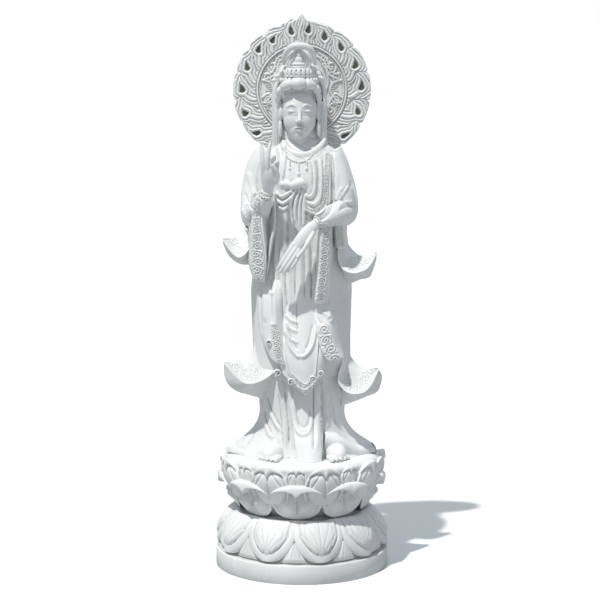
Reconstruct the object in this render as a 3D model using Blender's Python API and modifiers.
# A standing Guanyin in white marble: the figure, the lotus seat under its feet,
# the lotus base with its plinth, and the flame halo behind its head, with teardrop pockets.
# Metres, +Z up. The figure faces -Y; the origin is the middle of the plinth's underside.

import math

import bmesh
import bpy
import numpy as np
from mathutils import Matrix

# Driving sizes of the lotus base
PLINTH_RADIUS = 0.315
PLINTH_HEIGHT = 0.067
PLINTH_EDGE = 0.006
LEDGE_WIDTH = 0.026
DOWN_PETAL_RISE = 0.143
WAIST_RADIUS = 0.222
DOWN_PETALS = 10
DOWN_PETAL_LIFT = 0.010
DOWN_PETAL_DOME = 0.0145
DOWN_PETAL_TURN = 12.5
PETAL_ROOT = 0.020

# Driving sizes of the lotus seat
SEAT_HEIGHT = 0.2097
SEAT_RADIUS = 0.286
SEAT_FOOT_RADIUS = 0.218
UP_PETALS = 9
UP_PETAL_TURN = -4.0
UP_PETAL_REACH = 0.030
UP_PETAL_CUP = 0.010
SEAT_LIP = 0.010
SEAT_RIM = 0.029
SEAT_BELLY = 0.45

# Driving sizes of the halo
HALO_RADIUS = 0.250
HALO_TIP = 0.030
HALO_PLATE = 0.034
HALO_RELIEF = 0.009
HALO_RING_RADIUS = 0.160
HALO_RING_ROLL = 0.006
HALO_FLAMES = 7
HALO_POCKET_PLACE = 0.216
HALO_POCKET_WIDTH = 0.023
HALO_POCKET_LENGTH = 0.044
HALO_POCKET_DEPTH = 0.025

# Driving sizes of the figure; its pose and carving are shares of its height
FIGURE_HEIGHT = 1.470
HALO_CENTRE_SHARE = 0.886
HALO_PLACE_SHARE = 0.0700

# Stone meets stone with this joint
JOINT_GAP = 0.0003
CUT_DEPTH = 0.02

BASE_HEIGHT = PLINTH_HEIGHT + DOWN_PETAL_RISE
SEAT_FOOT = BASE_HEIGHT + JOINT_GAP
SEAT_TOP = SEAT_FOOT + SEAT_HEIGHT
FIGURE_FOOT = SEAT_TOP + JOINT_GAP
HALO_CENTRE = FIGURE_FOOT + HALO_CENTRE_SHARE * FIGURE_HEIGHT
HALO_FRONT = HALO_PLACE_SHARE * FIGURE_HEIGHT

# Fineness of the faceted solids
TURNED_COLUMNS = 96
HALO_COLUMNS = 98
PETAL_FRONT = 0.75
BASE_VOXEL = 0.0060
BASE_SMOOTHING = 1
BASE_KEPT = 0.022
SEAT_VOXEL = 0.0060
SEAT_SMOOTHING = 2
SEAT_KEPT = 0.032
HALO_KEPT = 0.62
FIGURE_VOXEL = 0.0070
FIGURE_SMOOTHING = 4
FIGURE_KEPT = 0.036

MARBLE_COLOUR = (0.86, 0.86, 0.84, 1.0)
MARBLE_ROUGHNESS = 0.45


def clear_scene():
    for old in list(bpy.data.objects):
        bpy.data.objects.remove(old)


def new_collection(name):
    collection = bpy.data.collections.new(name)
    bpy.context.scene.collection.children.link(collection)
    return collection


def marble(name):
    material = bpy.data.materials.new(name)
    material.use_nodes = True
    shader = material.node_tree.nodes["Principled BSDF"]
    shader.inputs["Base Color"].default_value = MARBLE_COLOUR
    shader.inputs["Roughness"].default_value = MARBLE_ROUGHNESS
    shader.inputs["Metallic"].default_value = 0.0
    return material


# Helpers that shape numbers
def step(low, high, value):
    share = np.clip((value - low) / (high - low), 0.0, 1.0)
    return share * share * (3.0 - 2.0 * share)


def smooth_line(points, share):
    """Places on a smooth curve through points, at shares 0 to 1 of its length in points."""
    points = np.asarray(points, float)
    last = len(points) - 1
    padded = np.vstack([2 * points[0] - points[1], points, 2 * points[-1] - points[-2]])
    place = np.clip(np.asarray(share, float), 0.0, 1.0) * last
    index = np.minimum(place.astype(int), last - 1)
    t = (place - index)[..., None]
    a, b, c, d = (padded[index + k] for k in range(4))
    return 0.5 * (2 * b + (c - a) * t + (2 * a - 5 * b + 4 * c - d) * t**2 + (3 * b - a - 3 * c + d) * t**3)


# Helpers that make meshes
def sheet(name, columns, rows, place, closed=False, ends=False):
    """A grid whose points place(across, along) sets; closed joins its sides and ends caps it."""
    work = bmesh.new()
    bmesh.ops.create_grid(work, x_segments=columns, y_segments=rows, size=0.5)
    flat = np.array([vertex.co for vertex in work.verts]) + 0.5
    for vertex, point in zip(work.verts, place(flat[:, 0], flat[:, 1])):
        vertex.co = point
    if closed:
        bmesh.ops.remove_doubles(work, verts=work.verts, dist=1e-6)
    if ends:
        rims = [edge for edge in work.edges if edge.is_boundary]
        bmesh.ops.holes_fill(work, edges=rims, sides=0)
    bmesh.ops.recalc_face_normals(work, faces=work.faces)
    mesh = bpy.data.meshes.new(name)
    work.to_mesh(mesh)
    work.free()
    return bpy.data.objects.new(name, mesh)


def ball(name, centre, radii, turn=None):
    work = bmesh.new()
    bmesh.ops.create_uvsphere(work, u_segments=20, v_segments=12, radius=1.0)
    shape = Matrix.Translation(centre) @ (turn or Matrix()) @ Matrix.Diagonal((*radii, 1.0))
    bmesh.ops.transform(work, matrix=shape, verts=work.verts)
    mesh = bpy.data.meshes.new(name)
    work.to_mesh(mesh)
    work.free()
    return bpy.data.objects.new(name, mesh)


def ring_around(radius, angle, height):
    """Points at an angle measured from the front, -Y, towards +X."""
    return np.stack([radius * np.sin(angle), -radius * np.cos(angle), height], axis=-1)


# Petals are lens-shaped lofts bent round the base's axis and joined to its turned body
def petal(name, turn, rows, columns, half_width, path, face, depth):
    """One petal: path gives its line as radius, height and outward direction at shares
    of its length, half_width its outline, and face how far its front stands out."""
    def place(across, along):
        along = 0.5 - 0.5 * np.cos(math.pi * along)
        front = across < PETAL_FRONT + 1e-9
        on_front = 2.0 * across / PETAL_FRONT - 1.0
        side = np.where(front, on_front, 1.0 - 2.0 * (across - PETAL_FRONT) / (1.0 - PETAL_FRONT))
        radius, height, out, up = path(along)
        lift = np.where(front, face(side, along), -depth)
        angle = math.radians(turn) + side * half_width(along) / radius
        return ring_around(radius + out * lift, angle, height + up * lift)

    return sheet(name, columns, rows, place, closed=True, ends=True)


def turned(name, profile, columns):
    """A body turned round +Z from its profile of radius and height, bottom to top."""
    rows = len(profile) - 1
    radii, heights = np.array(profile).T

    def place(across, along):
        row = np.rint(along * rows).astype(int)
        return ring_around(radii[row], across * 2.0 * math.pi, heights[row])

    return sheet(name, columns, rows, place, closed=True, ends=True)


def fuse(name, pieces, voxel, smoothing, kept):
    """Melts overlapping closed pieces into one skin and keeps a share of its facets."""
    shape = bmesh.new()
    for piece in pieces:
        shape.from_mesh(piece.data)
        bpy.data.objects.remove(piece)
    mesh = bpy.data.meshes.new(name)
    shape.to_mesh(mesh)
    shape.free()
    whole = bpy.data.objects.new(name, mesh)
    skin = whole.modifiers.new("one_skin", "REMESH")
    skin.mode = "VOXEL"
    skin.voxel_size = voxel
    soft = whole.modifiers.new("soft", "SMOOTH")
    soft.factor = 0.5
    soft.iterations = smoothing
    return thin_out(whole, kept)


def cut_away(body, shapes, cutters):
    for shape in shapes:
        cutters.objects.link(shape)
        shape.hide_render = True
        shape.display_type = "WIRE"
        cut = body.modifiers.new("cut", "BOOLEAN")
        cut.operation = "DIFFERENCE"
        cut.object = shape
    return body


def slab(name, low, high):
    """A wide block between two heights, which cuts a piece flat."""
    reach = 3.0 * PLINTH_RADIUS
    work = bmesh.new()
    bmesh.ops.create_cube(work, size=1.0)
    middle = Matrix.Translation((0.0, 0.0, 0.5 * (low + high)))
    shape = middle @ Matrix.Diagonal((reach, reach, high - low, 1.0))
    bmesh.ops.transform(work, matrix=shape, verts=work.verts)
    mesh = bpy.data.meshes.new(name)
    work.to_mesh(mesh)
    work.free()
    return bpy.data.objects.new(name, mesh)


def thin_out(body, ratio):
    """Drops the small facets that a union leaves along its seams."""
    fewer = body.modifiers.new("fewer_facets", "DECIMATE")
    fewer.ratio = ratio
    fewer.use_collapse_triangulate = True
    return body


# The lotus base: a round plinth under turned-down petals
def down_path(along):
    """The line of a turned-down petal, from its round end on the ledge up to the waist."""
    slope = math.pi / 2.0 * (0.04 + 0.93 * along)
    ledge = PLINTH_RADIUS - LEDGE_WIDTH
    radius = WAIST_RADIUS + (ledge - WAIST_RADIUS) * np.cos(slope)
    height = PLINTH_HEIGHT + DOWN_PETAL_RISE * np.sin(slope)
    return radius, height, np.cos(slope), 0.4 * np.sin(slope)


def down_half_width(along):
    pitch = math.pi * (PLINTH_RADIUS - LEDGE_WIDTH) / DOWN_PETALS
    round_end = np.sqrt(np.clip(1.0 - (1.0 - (along + 0.02) / 0.52) ** 2, 0.0, 1.0))
    return pitch * np.where(along < 0.5, round_end, 1.0 - 0.75 * (along - 0.5) ** 2)


def down_face(side, along):
    dome = np.sqrt(np.clip(1.0 - side**2, 0.0, 1.0))
    wall = DOWN_PETAL_LIFT * np.clip(6.0 * dome, 0.0, 1.0)
    return wall + DOWN_PETAL_DOME * dome * (1.0 - 0.7 * along**2)


def gap_path(along):
    """A small petal shows low down between two large ones."""
    return down_path(0.3 * along)


def gap_half_width(along):
    return 0.6 * down_half_width(0.35 * along)


def gap_face(side, along):
    return 0.6 * DOWN_PETAL_LIFT * np.sqrt(np.clip(1.0 - side**2, 0.0, 1.0)) + 0.4 * DOWN_PETAL_LIFT


def lotus_base(cutters):
    ledge = PLINTH_RADIUS - LEDGE_WIDTH
    profile = [(PLINTH_RADIUS, -CUT_DEPTH), (PLINTH_RADIUS, PLINTH_HEIGHT - PLINTH_EDGE)]
    profile += [(PLINTH_RADIUS - PLINTH_EDGE, PLINTH_HEIGHT)]
    profile += [(WAIST_RADIUS + (ledge - WAIST_RADIUS) * math.cos(a),
                 PLINTH_HEIGHT + DOWN_PETAL_RISE * math.sin(a)) for a in np.linspace(0.0, math.pi / 2.0, 8)]
    profile += [(WAIST_RADIUS, BASE_HEIGHT + CUT_DEPTH)]
    pitch = 360.0 / DOWN_PETALS
    petals = []
    for number in range(DOWN_PETALS):
        turn = DOWN_PETAL_TURN + pitch * number
        petals.append(petal("down_petal", turn, 20, 20, down_half_width, down_path, down_face, PETAL_ROOT))
        petals.append(petal("gap_petal", turn + pitch / 2.0, 10, 10, gap_half_width, gap_path, gap_face,
                            PETAL_ROOT))
    body = turned("base_disc", profile, TURNED_COLUMNS)
    whole = fuse("lotus_base", [body] + petals, BASE_VOXEL, BASE_SMOOTHING, BASE_KEPT)
    under = slab("under_base", -2.0 * CUT_DEPTH, 0.0)
    above = slab("above_base", BASE_HEIGHT, BASE_HEIGHT + 2.0 * CUT_DEPTH)
    return cut_away(whole, [under, above], cutters)


# The lotus seat: three rows of upright petals round a flat disc
def up_path(first, last, first_radius, last_radius, curl):
    """The line of an upright petal between two shares of the seat's height."""
    def path(along):
        swell = np.sin(math.pi / 2.0 * along)
        radius = first_radius + (last_radius - first_radius) * swell
        radius = radius + curl * step(0.72, 1.0, along)
        height = SEAT_FOOT + SEAT_HEIGHT * (first + (last - first) * along)
        tilt = math.radians(-50.0) + math.radians(55.0) * along
        return radius, height, np.cos(tilt), np.sin(tilt)

    return path


def up_half_width(pitch_share):
    pitch = math.pi * (SEAT_RADIUS + UP_PETAL_REACH) / UP_PETALS

    def width(along):
        outline = np.sqrt(np.clip(1.0 - np.clip((along - 0.45) / 0.56, -0.7, 1.0) ** 2, 0.0, 1.0))
        return pitch * pitch_share * outline

    return width


def rimmed_face(thickness, rim):
    """A swelling petal whose upper edge turns out, notched in the middle."""
    def face(side, along):
        round_off = np.sqrt(np.clip(1.0 - side**2, 0.0, 1.0))
        swell = round_off * np.sin(math.pi * np.clip(0.15 + 0.75 * along, 0.0, 1.0))
        edge = step(0.55, 0.80, along) * (1.0 - 0.5 * np.exp(-((side / 0.2) ** 2)))
        return thickness * (0.4 + 0.6 * round_off) + rim * (0.5 * swell + edge * round_off)

    return face


def domed_face(thickness, dome):
    def face(side, along):
        return thickness + dome * np.clip(1.0 - side**2, 0.0, 1.0) * np.sin(math.pi * (0.2 + 0.6 * along))

    return face


def lotus_seat(cutters):
    wall = SEAT_RADIUS - SEAT_LIP
    profile = [(SEAT_FOOT_RADIUS, SEAT_FOOT - CUT_DEPTH)]
    profile += [(SEAT_FOOT_RADIUS + (wall - SEAT_FOOT_RADIUS) * math.sin(math.pi / 2.0 * share),
                 SEAT_FOOT + SEAT_BELLY * SEAT_HEIGHT * share) for share in np.linspace(0.0, 1.0, 7)]
    profile += [(wall, SEAT_TOP - SEAT_RIM - SEAT_LIP), (SEAT_RADIUS, SEAT_TOP - SEAT_RIM)]
    profile += [(SEAT_RADIUS, SEAT_TOP + CUT_DEPTH)]
    pitch = 360.0 / UP_PETALS
    big = up_path(0.02, 0.56, SEAT_FOOT_RADIUS - 0.004, SEAT_RADIUS - 0.006, 0.010)
    middle = up_path(0.18, 0.78, SEAT_RADIUS - 0.050, SEAT_RADIUS - 0.002, 0.006)
    small = up_path(0.50, 0.84, SEAT_RADIUS - 0.014, SEAT_RADIUS - 0.004, 0.002)
    petals = []
    for number in range(UP_PETALS):
        turn = UP_PETAL_TURN + pitch * number
        petals.append(petal("big_petal", turn, 16, 16, up_half_width(0.98), big,
                            rimmed_face(1.4 * UP_PETAL_CUP, UP_PETAL_CUP), 2.5 * PETAL_ROOT))
        petals.append(petal("middle_petal", turn + pitch / 2.0, 12, 12, up_half_width(0.66), middle,
                            domed_face(0.7 * UP_PETAL_CUP, 0.8 * UP_PETAL_CUP), 2.0 * PETAL_ROOT))
        petals.append(petal("small_petal", turn, 8, 8, up_half_width(0.40), small,
                            domed_face(0.5 * UP_PETAL_CUP, 0.4 * UP_PETAL_CUP), 1.5 * PETAL_ROOT))
    body = turned("seat_disc", profile, TURNED_COLUMNS)
    whole = fuse("lotus_seat", [body] + petals, SEAT_VOXEL, SEAT_SMOOTHING, SEAT_KEPT)
    under = slab("under_seat", SEAT_FOOT - 2.0 * CUT_DEPTH, SEAT_FOOT)
    above = slab("above_seat", SEAT_TOP, SEAT_TOP + 2.0 * CUT_DEPTH)
    return cut_away(whole, [under, above], cutters)


# The halo: a disc of flames with teardrop pockets
def flame_turn(share):
    """How far a flame leans towards the top by a share 0 to 1 of its way out, in radians."""
    return math.radians(30.0) * share + math.radians(7.0) * np.sin(2.0 * math.pi * share)


def flame_sector(angle, share):
    """Which part of its flame a point is in, -0.5 to 0.5 across it."""
    pitch = math.pi * 0.86 / HALO_FLAMES
    place = (np.abs(angle) + flame_turn(share) - flame_turn(0.55)) / pitch
    return (place - 0.25) % 1.0 - 0.5


def halo_edge(angle):
    """The halo's outer radius at an angle from the top."""
    point = HALO_TIP * np.exp(-np.abs(angle / math.radians(5.5)) ** 1.3)
    tooth = 0.5 + flame_sector(angle, np.ones_like(angle))
    above = 1.0 - step(2.3, 2.6, np.abs(angle))
    return HALO_RADIUS + point - 0.012 * above * tooth


def halo_relief(angle, radius):
    """How far the carving stands out of the plate, 0 to 1."""
    share = np.clip((radius - HALO_RING_RADIUS) / (HALO_RADIUS - HALO_RING_RADIUS), 0.0, 1.0)
    flames = 0.35 + 0.65 * np.abs(np.cos(math.pi * flame_sector(angle, share)))
    flames *= 1.0 - 0.45 * step(0.85, 1.0, share)
    return np.where(radius < HALO_RING_RADIUS - HALO_RING_ROLL, 0.0, flames)


def teardrop_pocket(index):
    """A pointed cutter into the halo, index 0.5, 1.5 and so on from the top, either side."""
    pitch = math.pi * 0.86 / HALO_FLAMES
    angle = math.copysign((abs(index) - 0.25) * pitch, index)
    lean = math.copysign(math.radians(80.0) * float(step(1.6, 2.5, abs(angle))), index)

    def place(across, along):
        turn = across * 2.0 * math.pi
        reach = 0.5 * HALO_POCKET_WIDTH * np.ones_like(turn)
        point = (HALO_POCKET_LENGTH - HALO_POCKET_WIDTH / 2.0) * np.exp(-np.abs((turn - math.pi) / 0.55) ** 1.2)
        reach = np.maximum(reach, point)
        x = reach * np.sin(turn)
        z = -reach * np.cos(turn)
        spun_x = x * math.cos(lean) + z * math.sin(lean) + HALO_POCKET_PLACE * math.sin(angle)
        spun_z = -x * math.sin(lean) + z * math.cos(lean) + HALO_POCKET_PLACE * math.cos(angle)
        depth = HALO_FRONT - HALO_PLATE + (HALO_PLATE + HALO_POCKET_DEPTH) * along
        return np.stack([spun_x, depth, HALO_CENTRE + spun_z], axis=-1)

    return sheet("halo_pocket", 10, 1, place, closed=True, ends=True)


def halo(cutters):
    inner = HALO_RING_RADIUS
    radii = np.array([
        0.0, inner - HALO_RING_ROLL, inner - HALO_RING_ROLL, inner, inner + HALO_RING_ROLL,
        inner + 0.25 * (HALO_RADIUS - inner), inner + 0.5 * (HALO_RADIUS - inner),
        inner + 0.75 * (HALO_RADIUS - inner), HALO_RADIUS, HALO_RADIUS, 0.0,
    ])
    front = np.array([0.0, 0.0, 0.7, 1.0, 0.6, 0.8, 1.0, 1.0, 0.7, -1.0, -1.0])
    rows = len(radii) - 1
    rim = (8, 9)

    def place(across, along):
        row = np.rint(along * rows).astype(int)
        angle = (across * 2.0 - 1.0) * math.pi
        radius = np.where(np.isin(row, rim), halo_edge(angle), radii[row])
        carved = np.where(row < 5, front[row], front[row] * halo_relief(angle, radius))
        depth = np.where(row < 9, HALO_FRONT - HALO_RELIEF * carved, HALO_FRONT + HALO_PLATE)
        return np.stack([radius * np.sin(angle), depth, HALO_CENTRE + radius * np.cos(angle)], axis=-1)

    disc = sheet("halo", HALO_COLUMNS, rows, place, closed=True)
    pockets = [teardrop_pocket(side * (number + 0.75)) for number in range(HALO_FLAMES) for side in (-1.0, 1.0)]
    return thin_out(cut_away(disc, pockets, cutters), HALO_KEPT)


# The figure: its points are thousandths of its height, X, Y and Z from its foot
BODY_HEIGHTS = (-12, 0, 12, 30, 55, 85, 130, 200, 300, 400, 480, 560, 640, 690, 722, 745, 768)
BODY_HALF_WIDTHS = (192, 190, 176, 142, 112, 102, 106, 112, 113, 116, 108, 100, 106, 106, 95, 76, 40)
BODY_FRONTS = (150, 150, 142, 128, 118, 112, 108, 107, 103, 98, 90, 83, 84, 80, 66, 50, 38)
BODY_BACKS = (166, 166, 156, 138, 116, 104, 100, 98, 94, 90, 84, 80, 80, 76, 72, 62, 48)
BODY_ROUNDNESS = 2.3
ROBE_HEM = 205.0
ROBE_STEP = 6.0


def carved(points):
    """Points of the figure, from thousandths of its height to metres."""
    points = np.asarray(points, float) * FIGURE_HEIGHT / 1000.0
    return points + np.array([0.0, 0.0, FIGURE_FOOT])


def body_section(height):
    return (np.interp(height, BODY_HEIGHTS, BODY_HALF_WIDTHS), np.interp(height, BODY_HEIGHTS, BODY_FRONTS),
            np.interp(height, BODY_HEIGHTS, BODY_BACKS))


def body_front(x, height):
    """The body's front surface at a place across it, in thousandths of the figure's height."""
    half, front, _ = body_section(height)
    return -front * np.clip(1.0 - np.abs(x / half) ** BODY_ROUNDNESS, 0.0, 1.0) ** (1.0 / BODY_ROUNDNESS)


def body():
    """Torso and skirts: one loft of rounded sections, fluted at the sides and back."""
    def place(across, along):
        height = BODY_HEIGHTS[0] + (BODY_HEIGHTS[-1] - BODY_HEIGHTS[0]) * along
        half, front, back = body_section(height)
        turn = 2.0 * math.pi * across
        sine, cosine = np.sin(turn), -np.cos(turn)
        power = 2.0 / BODY_ROUNDNESS
        x = half * np.sign(sine) * np.abs(sine) ** power
        depth = np.where(cosine < 0.0, front, back)
        y = depth * np.sign(cosine) * np.abs(cosine) ** power
        robe = step(ROBE_HEM - 2.0, ROBE_HEM + 2.0, height) * (1.0 - step(640.0, 700.0, height))
        low = 1.0 - step(60.0, 260.0, height)
        flutes = 2.5 * low * np.cos(26.0 * turn) + 2.5 * robe * step(-0.3, 0.3, cosine) * np.cos(18.0 * turn)
        swell = 1.0 + (flutes + ROBE_STEP * robe * step(-0.9, -0.5, cosine)) / 120.0
        return carved(np.stack([x * swell, y * swell, height], axis=-1))

    return sheet("body", 104, 110, place, closed=True, ends=True)


def loft(name, lines, columns=24, rows=24):
    """A closed solid whose sections run smoothly through one place on each line in turn."""
    count = len(lines)

    def place(across, along):
        guides = np.stack([smooth_line(line, along) for line in lines])
        start = np.floor(across * count + 1e-6).astype(int)
        t = (across * count - start)[..., None]
        column = np.arange(len(across))
        a, b, c, d = (guides[(start + k) % count, column] for k in (-1, 0, 1, 2))
        curve = 2 * b + (c - a) * t + (2 * a - 5 * b + 4 * c - d) * t**2 + (3 * b - a - 3 * c + d) * t**3
        return carved(0.5 * curve)

    return sheet(name, columns, rows, place, closed=True, ends=True)


def limb(name, points, radii, rows=28):
    """A round limb along a smooth line, its radius running through the radii given."""
    spread = np.array([[radius, 0.0, 0.0] for radius in radii])

    def place(across, along):
        ahead = smooth_line(points, along + 0.01) - smooth_line(points, along - 0.01)
        ahead /= np.linalg.norm(ahead, axis=-1, keepdims=True)
        side = np.cross(ahead, [0.0, 1.0, 0.001])
        side /= np.linalg.norm(side, axis=-1, keepdims=True)
        front = np.cross(side, ahead)
        radius = smooth_line(spread, along)[:, :1]
        turn = (across * 2.0 * math.pi)[:, None]
        return carved(smooth_line(points, along) + radius * (side * np.cos(turn) + front * np.sin(turn)))

    return sheet(name, 14, rows, place, closed=True, ends=True)


def fold(points, radius, sink=0.35):
    """A ridge of cloth lying on the body's front; points are X and Z only."""
    points = np.array(points, float)
    line = [(x, body_front(x, z) + sink * radius, z) for x, z in points]
    tips = np.concatenate([[0.3 * radius], np.full(len(line) - 2, radius), [0.3 * radius]])
    return limb("fold", line, tips)


def scoop(name, top, lip, under, sag):
    """The flaring end of a scarf: a hollowed upper face between its top and its lip."""
    top, lip, under = (smooth_line(line, np.linspace(0.0, 1.0, 7)) for line in (top, lip, under))
    hollow = 0.5 * (top + lip)
    hollow[:, 2] -= sag * np.sin(math.pi * np.linspace(0.15, 1.0, 7))
    hollow[:, 1] += 0.3 * sag
    edge = lip + (hollow - lip) * 0.12
    behind = 0.5 * (under + top) + (0, 10, 0)
    return loft(name, [top, hollow, edge, lip, 0.5 * (lip + under), under, behind], 28, 20)


def scarves():
    return [
        scoop("scarf", [(-112, -20, 590), (-140, -22, 552), (-165, -30, 529), (-191, -46, 527)],
              [(-112, -68, 540), (-130, -88, 501), (-153, -95, 486), (-176, -75, 504), (-192, -52, 524)],
              [(-112, -34, 464), (-150, -48, 467), (-178, -48, 488), (-192, -44, 516)], 14),
        scoop("scarf", [(99, -30, 574), (106, -36, 531), (122, -34, 501), (144, -34, 484), (166, -36, 484),
                        (181, -44, 496)],
              [(87, -75, 512), (89, -88, 469), (114, -95, 449), (142, -88, 451), (164, -68, 463),
               (181, -50, 492)],
              [(96, -34, 406), (122, -48, 420), (143, -54, 430), (166, -54, 437), (181, -48, 478)], 12),
        scoop("scarf", [(-108, -36, 300), (-122, -34, 253), (-140, -34, 234), (-166, -41, 224),
                        (-189, -54, 226)],
              [(-60, -94, 216), (-80, -106, 199), (-108, -116, 186), (-135, -109, 182), (-162, -88, 197),
               (-189, -60, 222)],
              [(-90, -54, 134), (-134, -61, 148), (-163, -61, 158), (-185, -54, 178), (-193, -50, 210)], 14),
        scoop("scarf", [(96, -36, 300), (113, -34, 250), (128, -34, 226), (152, -41, 209), (186, -54, 212)],
              [(97, -80, 224), (86, -106, 191), (104, -116, 165), (132, -116, 158), (162, -92, 167),
               (187, -60, 208)],
              [(96, -54, 118), (132, -61, 132), (160, -61, 145), (187, -54, 157), (197, -50, 190)], 16),
    ]


def sleeves():
    return [
        loft("sleeve", [
            [(-119, -92, 640), (-121, -100, 571), (-123, -102, 521), (-124, -102, 471), (-116, -98, 430)],
            [(-100, -112, 644), (-98, -120, 589), (-93, -124, 539), (-87, -124, 473), (-94, -118, 432)],
            [(-66, -100, 640), (-66, -102, 565), (-74, -104, 528), (-82, -109, 471), (-86, -104, 434)],
            [(-70, -50, 630), (-70, -50, 550), (-76, -50, 510), (-84, -50, 465), (-90, -50, 440)],
            [(-118, -40, 630), (-122, -40, 560), (-124, -40, 510), (-122, -40, 460), (-110, -40, 436)]]),
        loft("sleeve", [
            [(45, -112, 574), (40, -124, 518), (39, -126, 458), (38, -124, 410), (42, -118, 379)],
            [(69, -104, 574), (67, -112, 516), (68, -114, 456), (71, -110, 408), (74, -104, 377)],
            [(78, -60, 575), (74, -60, 516), (74, -60, 456), (76, -60, 408), (78, -60, 385)],
            [(42, -70, 575), (36, -70, 516), (36, -70, 456), (34, -70, 408), (40, -70, 385)]]),
        loft("sleeve", [
            [(77, -88, 584), (80, -94, 530), (82, -92, 502)],
            [(101, -74, 584), (103, -80, 530), (102, -80, 503)],
            [(106, -30, 584), (106, -30, 530), (100, -30, 508)],
            [(74, -40, 584), (74, -40, 530), (76, -40, 508)]], 20, 10),
    ]


def robe_fronts():
    return [
        loft("panel", [
            [(-98, -92, 440), (-98, -100, 323), (-92, -104, 290), (-84, -104, 268)],
            [(-70, -114, 450), (-70, -120, 325), (-68, -124, 270), (-62, -120, 246)],
            [(-41, -114, 450), (-41, -122, 326), (-40, -130, 250), (-38, -130, 229)],
            [(-36, -90, 440), (-36, -90, 326), (-38, -90, 250), (-40, -100, 236)],
            [(-98, -60, 440), (-98, -60, 323), (-92, -60, 290), (-84, -80, 274)]]),
        loft("panel", [
            [(30, -118, 385), (38, -126, 326), (48, -130, 263), (58, -126, 238)],
            [(60, -116, 385), (64, -120, 326), (76, -118, 263), (80, -112, 236)],
            [(78, -96, 385), (86, -98, 330), (94, -98, 262), (100, -94, 238)],
            [(80, -60, 385), (88, -60, 330), (94, -60, 262), (98, -70, 246)],
            [(30, -90, 385), (38, -90, 326), (48, -90, 263), (58, -100, 244)]]),
        loft("knee_cloth", [
            [(-56, -108, 345), (-58, -116, 262), (-50, -122, 212)],
            [(-28, -120, 345), (-28, -130, 250), (-22, -132, 190)],
            [(0, -124, 345), (2, -136, 245), (12, -140, 157)],
            [(28, -120, 345), (30, -130, 250), (32, -132, 186)],
            [(52, -108, 345), (54, -116, 270), (50, -122, 222)],
            [(48, -80, 345), (48, -80, 270), (46, -100, 226)],
            [(0, -90, 345), (2, -90, 250), (10, -104, 168)],
            [(-50, -80, 345), (-50, -80, 262), (-46, -100, 218)]], 32, 16),
    ]


def arms():
    right_fingers = [(-92, 735), (-86, 744), (-80, 748), (-75, 742)]
    left_fingers = [(-57, 458), (-50, 452), (-40, 452), (-30, 456)]
    pieces = [
        limb("right_arm", [(-78, 6, 736), (-103, 6, 690), (-117, 0, 630), (-116, -26, 585), (-108, -76, 590),
                           (-95, -112, 618), (-84, -140, 648)], [26, 33, 34, 34, 32, 24, 13]),
        limb("left_arm", [(72, 6, 736), (88, 6, 690), (101, 0, 630), (104, -26, 592), (86, -84, 590),
                          (58, -118, 584), (28, -134, 566)], [26, 31, 32, 32, 30, 24, 13]),
        limb("right_palm", [(-84, -138, 645), (-82, -148, 668), (-81, -152, 695), (-82, -153, 706)],
             [10, 13, 14, 9]),
        limb("left_palm", [(34, -131, 570), (14, -140, 548), (-4, -146, 520), (-12, -148, 508)],
             [11, 13, 14, 9]),
        limb("right_thumb", [(-76, -152, 668), (-71, -164, 684), (-76, -168, 700)], [6, 5, 4]),
        limb("left_thumb", [(6, -150, 540), (8, -160, 516), (0, -160, 494)], [6, 5, 4]),
    ]
    for number, (x, z) in enumerate(right_fingers):
        root = (-90 + 5.5 * number, -152, 700)
        middle = (0.5 * (root[0] + x), -158, 0.5 * (root[2] + z))
        pieces.append(limb("finger", [root, middle, (x, -155, z)], [6, 5.5, 4]))
    for number, (x, z) in enumerate(left_fingers):
        root = (-20 + 6.5 * number, -148, 516 - 2 * number)
        middle = (0.5 * (root[0] + x), -156, 0.5 * (root[2] + z))
        pieces.append(limb("finger", [root, middle, (x, -152, z)], [6, 5.5, 4]))
    return pieces


def share_ball(name, centre, radii):
    return ball(name, carved(centre), [radius * FIGURE_HEIGHT / 1000.0 for radius in radii])


def head():
    pieces = [
        share_ball("face", (-3, -24, 822), (44, 54, 64)),
        share_ball("jaw", (-3, -34, 796), (34, 40, 38)),
        share_ball("hair", (-3, -10, 862), (54, 58, 44)),
        share_ball("veil", (-3, 30, 850), (58, 56, 92)),
        share_ball("topknot", (-3, -10, 948), (30, 34, 52)),
        share_ball("topknot_back", (-3, 30, 920), (40, 44, 62)),
        share_ball("nose", (-3, -80, 818), (6, 9, 14)),
        limb("neck", [(-2, -14, 780), (-1, -12, 755), (0, -10, 730)], [27, 26, 34]),
        loft("crown", [
            [(-26, -66, 878), (-22, -60, 930), (-3, -50, 984)],
            [(-3, -76, 878), (-3, -72, 930), (-3, -54, 988)],
            [(20, -66, 878), (16, -60, 930), (-3, -50, 984)],
            [(20, -30, 878), (16, -30, 930), (-3, -30, 980)],
            [(-26, -30, 878), (-22, -30, 930), (-3, -30, 980)]], 20, 12),
        share_ball("seated_figure", (-3, -72, 925), (10, 8, 18)),
        limb("hair_roll", [(-56, -20, 868), (-42, -56, 882), (-3, -74, 890), (36, -56, 882), (50, -20, 868)],
             [8, 11, 12, 11, 8]),
    ]
    for side in (-1.0, 1.0):
        lock = [(-3 + 56 * side, -4, 868), (-3 + 62 * side, 2, 820), (-3 + 64 * side, 8, 752)]
        leaf = [(-3 + 14 * side, -66, 884), (-3 + 32 * side, -56, 905), (-3 + 26 * side, -44, 936)]
        pieces.append(share_ball("ear", (-3 + 48 * side, -16, 808), (7, 11, 26)))
        pieces.append(limb("lock", lock, [12, 11, 9]))
        pieces.append(limb("leaf", leaf, [9, 10, 5]))
    return pieces


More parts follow.
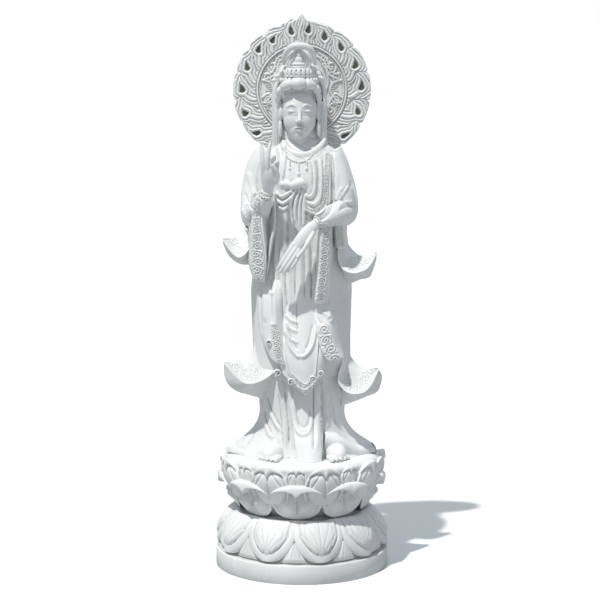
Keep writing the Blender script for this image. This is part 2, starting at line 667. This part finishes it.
def cloth_folds():
    pieces = [
        fold([(-52, 748), (-38, 716), (-3, 700), (34, 716), (48, 748)], 9),
        fold([(-72, 742), (-54, 690), (-24, 668), (4, 660)], 9),
        fold([(70, 742), (56, 690), (30, 668), (4, 660)], 9),
        fold([(-22, 668), (-3, 662), (16, 668)], 14, 0.2),
        fold([(-10, 660), (-14, 620), (-12, 570)], 9),
        fold([(6, 660), (8, 610), (2, 560)], 9),
        fold([(-60, 655), (-40, 630), (-12, 640)], 8),
        fold([(-66, 625), (-40, 600), (-10, 618)], 8),
        fold([(58, 700), (56, 650), (36, 625), (16, 640)], 9),
        fold([(74, 700), (74, 640), (50, 600), (18, 606)], 9),
        fold([(-30, 560), (-36, 480), (-34, 400), (-30, 350)], 8),
        fold([(-12, 560), (-16, 460), (-14, 360)], 8),
        fold([(6, 560), (6, 460), (4, 360)], 8),
        fold([(22, 560), (26, 460), (24, 380)], 8),
    ]
    for height in (365, 340, 318, 282):
        swag = [(-44, height + 14), (-24, height - 6), (0, height - 12), (26, height - 4), (44, height + 16)]
        pieces.append(fold(swag, 9, -1.6))
    for number in range(9):
        turn = math.radians(-64.0 + 16.0 * number)
        x = math.sin(turn)
        pieces.append(fold([(78 * x, 180), (84 * x, 110), (96 * x, 45), (126 * x, 8)], 8))
    return pieces


def feet():
    return [
        share_ball("foot", (-84, -132, 8), (24, 34, 16)), share_ball("foot", (98, -128, 8), (24, 34, 16)),
        loft("hem_fold", [
            [(-6, -110, 70), (-4, -140, 36), (-4, -166, 4)],
            [(10, -112, 74), (12, -146, 40), (14, -172, 6)],
            [(26, -110, 70), (30, -138, 36), (32, -162, 4)],
            [(10, -80, 60), (12, -100, 20), (14, -130, -10)]], 16, 10),
    ]


def figure(cutters):
    pieces = [body()] + arms() + head() + scarves() + sleeves() + robe_fronts() + cloth_folds() + feet()
    whole = fuse("figure", pieces, FIGURE_VOXEL, FIGURE_SMOOTHING, FIGURE_KEPT)
    under = slab("under_figure", FIGURE_FOOT - CUT_DEPTH, FIGURE_FOOT)
    return cut_away(whole, [under, back_cutter()], cutters)


def back_cutter():
    """The halo's own space behind head and shoulders, stepped at its ring."""
    inner = HALO_RING_RADIUS - HALO_RING_ROLL - JOINT_GAP
    outer = HALO_RADIUS + 2.0 * HALO_TIP
    radii = np.array([0.0, inner, inner, outer, outer, 0.0])
    depths = HALO_FRONT - JOINT_GAP - np.array([0.0, 0.0, HALO_RELIEF, HALO_RELIEF, -0.2, -0.2])

    def place(across, along):
        row = np.rint(along * 5).astype(int)
        turn = across * 2.0 * math.pi
        x, z = radii[row] * np.sin(turn), radii[row] * np.cos(turn)
        return np.stack([x, depths[row], HALO_CENTRE + z], axis=-1)

    return sheet("back_cutter", 48, 5, place, closed=True)


def main():
    clear_scene()
    statue = new_collection("guanyin_statue")
    cutters = new_collection("cutters")
    for piece in (lotus_base(cutters), lotus_seat(cutters), figure(cutters), halo(cutters)):
        statue.objects.link(piece)
        piece.data.materials.append(marble(piece.name + "_marble"))


main()
